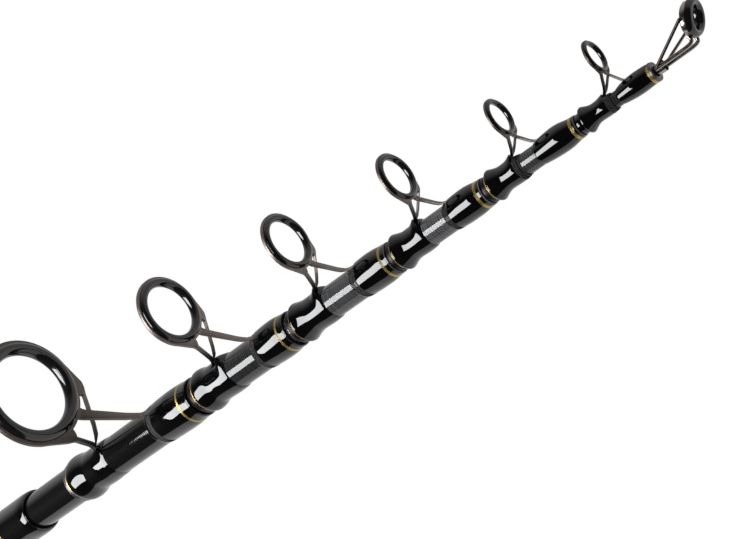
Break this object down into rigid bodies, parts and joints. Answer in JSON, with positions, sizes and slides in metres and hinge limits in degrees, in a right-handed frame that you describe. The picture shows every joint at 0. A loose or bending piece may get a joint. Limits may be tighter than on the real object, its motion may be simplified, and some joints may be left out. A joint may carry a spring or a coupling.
{
  "type": "telescopic fishing rod",
  "caption": "Closed telescopic surf rod: tapered carbon sections that slide into each other, ring guides on lacquered wraps, a tip-top, and a handle with a screw-lock reel seat.",
  "frame": {"origin": "centre of the butt cap's flat end, on the rod's axis", "axes": "+Z along the rod to its tip, +X the way section A's guide and the reel seat face, +Y completes the frame"},
  "size_m": [0.0818, 0.04, 0.8288],
  "materials": {
    "carbon": "semi-gloss carbon with fine tape ribs",
    "lacquer": "deep gloss black lacquer over thread",
    "gold": "polished gold trim",
    "pewter": "satin grey",
    "gunmetal": "satin taupe plating",
    "ceramic": "polished black ceramic",
    "steel": "polished stainless steel",
    "foam": "matt black foam",
    "rubber": "matt black rubber",
    "seat_plastic": "gloss black moulding",
    "plug": "matt black moulding"
  },
  "bodies": {
    "butt": {"butt_tube": "carbon", "end_plug": "plug", "butt_cap": "rubber", "rear_grip": "foam", "winding_checks": "pewter", "reel_seat": "seat_plastic", "fore_grip": "foam", "butt_wrap": "lacquer", "butt_gold_ring": "gold"},
    "section_a": {"tube_a": "carbon", "stop_collar_a": "pewter", "bell_a": "lacquer", "front_wrap_a": "lacquer", "gold_rings_a": "gold", "guide_frame_a": "gunmetal", "guide_ring_a": "ceramic"},
    "section_b": {"tube_b": "carbon", "stop_collar_b": "pewter", "bell_b": "lacquer", "front_wrap_b": "lacquer", "gold_rings_b": "gold", "guide_frame_b": "gunmetal", "guide_ring_b": "ceramic"},
    "section_c": {"tube_c": "carbon", "stop_collar_c": "pewter", "bell_c": "lacquer", "front_wrap_c": "lacquer", "gold_rings_c": "gold", "guide_frame_c": "gunmetal", "guide_ring_c": "ceramic"},
    "section_d": {"tube_d": "carbon", "stop_collar_d": "pewter", "bell_d": "lacquer", "front_wrap_d": "lacquer", "gold_rings_d": "gold", "guide_frame_d": "gunmetal", "guide_ring_d": "ceramic"},
    "section_e": {"tube_e": "carbon", "stop_collar_e": "pewter", "bell_e": "lacquer", "front_wrap_e": "lacquer", "gold_rings_e": "gold", "guide_frame_e": "gunmetal", "guide_ring_e": "ceramic"},
    "section_f": {"tube_f": "carbon", "stop_collar_f": "lacquer", "bell_f": "lacquer", "front_wrap_f": "lacquer", "gold_rings_f": "gold", "guide_frame_f": "gunmetal", "guide_ring_f": "ceramic"},
    "tip_section": {"tip_rod": "carbon", "tip_ferrule": "steel", "tip_frame": "steel", "tip_ring": "ceramic"},
    "sliding_hood": {"sliding_hood": "seat_plastic"},
    "lock_nut": {"lock_nut": "pewter"}
  },
  "joints": [
    {"name": "section_a_slide", "type": "slide", "parent": "butt", "child": "section_a", "axis": [0, 0, 1], "range_m": [0, 0.44]},
    {"name": "section_b_slide", "type": "slide", "parent": "section_a", "child": "section_b", "axis": [0, 0, 1], "range_m": [0, 0.44]},
    {"name": "section_c_slide", "type": "slide", "parent": "section_b", "child": "section_c", "axis": [0, 0, 1], "range_m": [0, 0.44]},
    {"name": "section_d_slide", "type": "slide", "parent": "section_c", "child": "section_d", "axis": [0, 0, 1], "range_m": [0, 0.44]},
    {"name": "section_e_slide", "type": "slide", "parent": "section_d", "child": "section_e", "axis": [0, 0, 1], "range_m": [0, 0.44]},
    {"name": "section_f_slide", "type": "slide", "parent": "section_e", "child": "section_f", "axis": [0, 0, 1], "range_m": [0, 0.44]},
    {"name": "tip_section_slide", "type": "slide", "parent": "section_f", "child": "tip_section", "axis": [0, 0, 1], "range_m": [0, 0.44]},
    {"name": "hood_slide", "type": "slide", "parent": "butt", "child": "sliding_hood", "axis": [0, 0, 1], "range_m": [0, 0.024]},
    {"name": "nut_turn", "type": "hinge", "parent": "sliding_hood", "child": "lock_nut", "pos_m": [0, 0, 0.312], "axis": [0, 0, 1], "range_deg": [0, 2880]}
  ],
  "couplings": [
    {"joint": "hood_slide", "follows": "nut_turn", "m_per_rad": 0.00047746}
  ]
}
